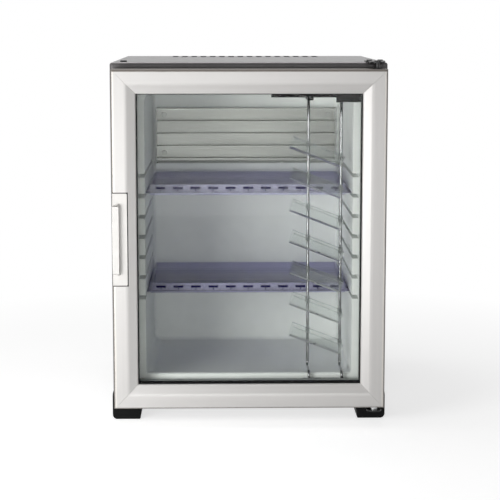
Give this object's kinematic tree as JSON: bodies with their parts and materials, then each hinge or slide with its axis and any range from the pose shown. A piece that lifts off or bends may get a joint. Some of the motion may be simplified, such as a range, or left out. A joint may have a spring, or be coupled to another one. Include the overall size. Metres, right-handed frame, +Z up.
{
  "type": "minibar fridge",
  "caption": "Compact hotel minibar fridge with an aluminium-framed glass door, clear shelves, a tilted bottle rack inside the door and an absorption cooling unit behind.",
  "frame": {"origin": "on the floor, under the middle of the whole fridge's box", "axes": "+Z up, -Y the front with the door, +X the hinge side seen from the front"},
  "size_m": [0.4078, 0.453, 0.5352],
  "materials": {
    "cabinet_paint": "satin",
    "galvanised_sheet": "satin",
    "liner_plastic": "satin",
    "insulation": "matte",
    "evaporator_aluminium": "satin",
    "shelf_plastic": "gloss",
    "black_plastic": "satin",
    "hinge_paint": "satin",
    "bright_steel": "polished",
    "frame_aluminium": "satin",
    "clear_glass": "gloss",
    "black_rubber": "matte",
    "bead_plastic": "satin",
    "seal_rubber": "matte",
    "handle_plastic": "satin",
    "bush_plastic": "satin",
    "rack_chrome": "polished",
    "clear_plastic": "gloss",
    "unit_paint": "satin"
  },
  "bodies": {
    "cabinet": {"top_cover": "cabinet_paint", "side_panel_left": "cabinet_paint", "side_panel_right": "cabinet_paint", "base_plate": "cabinet_paint", "front_rail": "cabinet_paint", "rear_panel": "galvanised_sheet", "boiler_jacket": "galvanised_sheet", "unit_saddles": "galvanised_sheet", "inner_liner": "liner_plastic", "drip_tray": "liner_plastic", "insulation_foam": "insulation", "evaporator_plate": "evaporator_aluminium", "condenser_fins": "evaporator_aluminium", "front_foot_left": "black_plastic", "front_foot_right": "black_plastic", "rear_foot_left": "black_plastic", "rear_foot_right": "black_plastic", "top_plugs": "black_plastic", "control_box": "black_plastic", "control_cover": "black_plastic", "cord_gland": "black_plastic", "upper_hinge_plate": "hinge_paint", "lower_hinge_bracket": "hinge_paint", "cabinet_screws": "bright_steel", "upper_hinge_pin": "bright_steel", "lower_hinge_pin": "bright_steel", "heating_cartridge": "bright_steel", "absorber_vessel": "unit_paint", "absorber_coil": "unit_paint", "solution_pipe": "unit_paint", "boiler_tube": "unit_paint", "condenser_tube": "unit_paint"},
    "door": {"door_rail_left": "frame_aluminium", "door_rail_right": "frame_aluminium", "door_rail_bottom": "frame_aluminium", "door_rail_top": "frame_aluminium", "corner_keys": "frame_aluminium", "outer_glass": "clear_glass", "inner_glass": "clear_glass", "glass_spacer": "black_rubber", "glazing_gasket": "black_rubber", "glazing_beads": "bead_plastic", "door_seal": "seal_rubber", "door_handle": "handle_plastic", "upper_hinge_bush": "bush_plastic", "lower_hinge_bush": "bush_plastic", "rack_top_bracket": "black_plastic", "rack_bottom_bracket": "black_plastic", "rack_rod_left": "rack_chrome", "rack_rod_right": "rack_chrome", "rack_screws": "bright_steel", "bottle_cradle_1": "clear_plastic", "bottle_cradle_2": "clear_plastic", "bottle_cradle_3": "clear_plastic", "bottle_cradle_4": "clear_plastic", "bottle_cradle_5": "clear_plastic", "bottle_cradle_6": "clear_plastic", "bottle_cradle_7": "clear_plastic"},
    "upper_shelf": {"upper_shelf": "shelf_plastic"},
    "lower_shelf": {"lower_shelf": "shelf_plastic"}
  },
  "joints": [
    {"name": "door_swing", "type": "hinge", "parent": "cabinet", "child": "door", "pos_m": [0.1845, -0.1985, 0], "axis": [0, 0, 1], "range_deg": [0, 105]},
    {"name": "upper_shelf_slide", "type": "slide", "parent": "cabinet", "child": "upper_shelf", "axis": [0, -1, 0], "range_m": [0, 0.016]},
    {"name": "lower_shelf_slide", "type": "slide", "parent": "cabinet", "child": "lower_shelf", "axis": [0, -1, 0], "range_m": [0, 0.016]}
  ]
}
